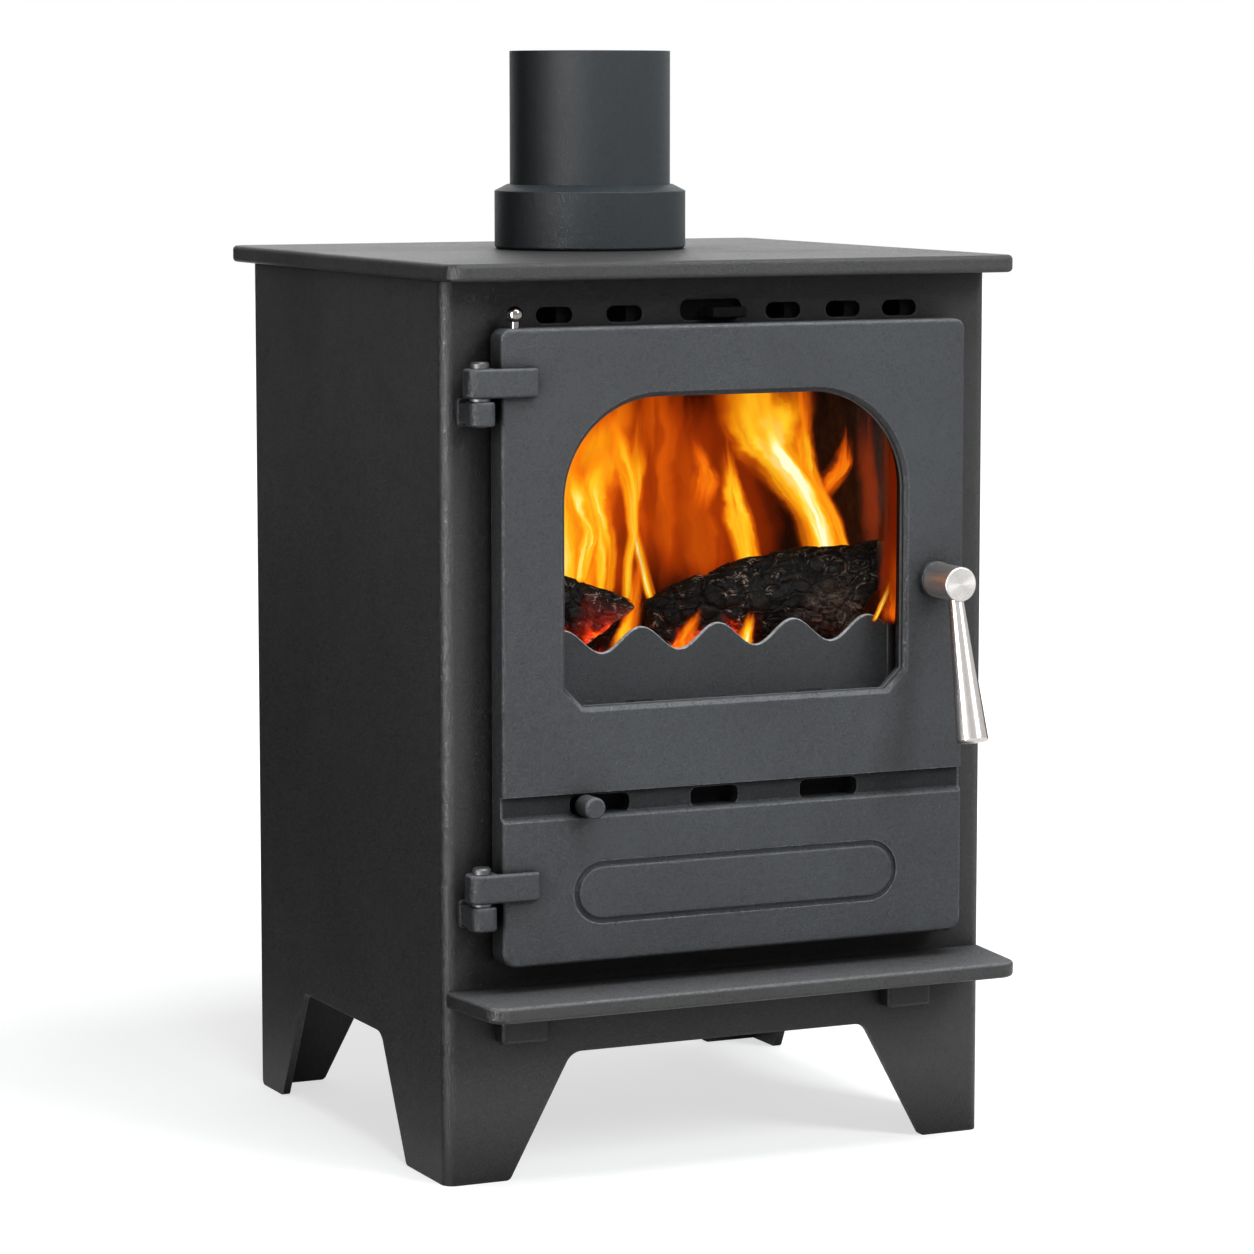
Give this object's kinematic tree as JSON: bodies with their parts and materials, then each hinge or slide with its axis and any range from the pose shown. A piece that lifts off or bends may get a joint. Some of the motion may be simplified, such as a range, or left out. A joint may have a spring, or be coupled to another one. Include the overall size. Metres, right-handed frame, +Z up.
{
  "type": "multi-fuel stove",
  "caption": "Freestanding multi-fuel stove on four legs, with a hinged glazed door, turning handle, sliding air controls, riddling grate and a top flue pipe.",
  "frame": {"origin": "on the floor, at the middle of the overall footprint", "axes": "+Z up, -Y out of the door's front, +X to the right seen from the front"},
  "size_m": [0.462, 0.522, 0.828],
  "materials": {
    "stove_paint": "matt heatproof charcoal paint with a fine grain",
    "flue_paint": "matt heatproof charcoal paint",
    "cast_door": "painted casting, matt charcoal with a fine grain",
    "cast_grate": "bare casting, sooted",
    "fire_brick": "sooted fire brick",
    "stove_glass": "clear heatproof glass",
    "rope_seal": "knitted glass-fibre rope",
    "satin_steel": "satin stainless steel",
    "bright_steel": "bright plated steel",
    "plain_steel": "plain machined steel"
  },
  "bodies": {
    "stove": {"front_header": "stove_paint", "left_front_stile": "stove_paint", "right_front_stile": "stove_paint", "front_skirt": "stove_paint", "left_side_plate": "stove_paint", "right_side_plate": "stove_paint", "back_plate": "stove_paint", "top_plate": "stove_paint", "floor_plate": "stove_paint", "flue_collar": "flue_paint", "flue_pipe": "flue_paint", "hearth_shelf": "stove_paint", "shelf_brackets": "stove_paint", "hinge_lugs": "stove_paint", "hinge_pins": "bright_steel", "latch_box": "stove_paint", "airwash_duct": "stove_paint", "airwash_guides": "stove_paint", "left_fire_brick": "fire_brick", "right_fire_brick": "fire_brick", "rear_fire_brick": "fire_brick", "baffle_plate": "stove_paint", "grate_rails": "stove_paint", "grate_bed": "cast_grate", "fuel_guard": "cast_grate", "ash_pan": "stove_paint"},
    "riddling_grate": {"riddle_grate": "cast_grate"},
    "airwash_control": {"airwash_slide": "stove_paint"},
    "door": {"door_casting": "cast_door", "door_glass": "stove_glass", "glass_gasket": "rope_seal", "glass_clips": "plain_steel", "glass_screws": "plain_steel", "door_rope_seal": "rope_seal", "hinge_straps": "stove_paint", "door_ball_stud": "bright_steel", "handle_collar": "stove_paint", "primary_air_guides": "stove_paint"},
    "primary_air_control": {"primary_air_slide": "stove_paint", "primary_air_knob": "stove_paint"},
    "door_handle": {"handle_boss": "satin_steel", "handle_bar": "satin_steel", "latch_spindle": "plain_steel", "latch_tongue": "plain_steel", "latch_nut": "plain_steel"}
  },
  "joints": [
    {"name": "door_swing", "type": "hinge", "parent": "stove", "child": "door", "pos_m": [-0.2042, -0.18599, 0.4], "axis": [0, 0, -1], "range_deg": [0, 120]},
    {"name": "handle_turn", "type": "hinge", "parent": "door", "child": "door_handle", "pos_m": [0.1645, -0.18999, 0.433], "axis": [0, -1, 0], "range_deg": [0, 90]},
    {"name": "primary_air_slide", "type": "slide", "parent": "door", "child": "primary_air_control", "axis": [1, 0, 0], "range_m": [-0.006, 0.032]},
    {"name": "airwash_slide", "type": "slide", "parent": "stove", "child": "airwash_control", "axis": [1, 0, 0], "range_m": [-0.019, 0.001]},
    {"name": "riddle_pull", "type": "slide", "parent": "stove", "child": "riddling_grate", "axis": [0, -1, 0], "range_m": [0, 0.0115]}
  ]
}
